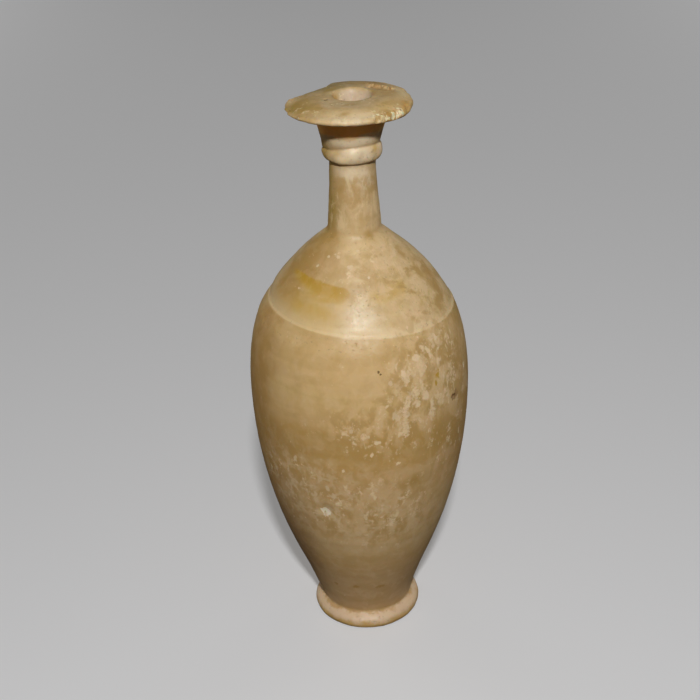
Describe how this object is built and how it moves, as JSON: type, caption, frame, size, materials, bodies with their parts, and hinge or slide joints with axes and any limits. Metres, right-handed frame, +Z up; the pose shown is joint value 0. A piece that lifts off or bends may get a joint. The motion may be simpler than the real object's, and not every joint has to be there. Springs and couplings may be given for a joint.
{
  "type": "alabastron",
  "caption": "Footed ovoid bottle of banded alabaster with a sloping shoulder, a narrow collared neck and a broad thin disc lip, hollow, for scented oil.",
  "frame": {"origin": "middle of the flat underside of the foot", "axes": "+Z up along the bottle, -Y to the front, +X to the right of the front"},
  "size_m": [0.0764, 0.0764, 0.2],
  "materials": {
    "alabaster": "satin"
  },
  "bodies": {
    "root": {"vessel": "alabaster"}
  },
  "joints": []
}
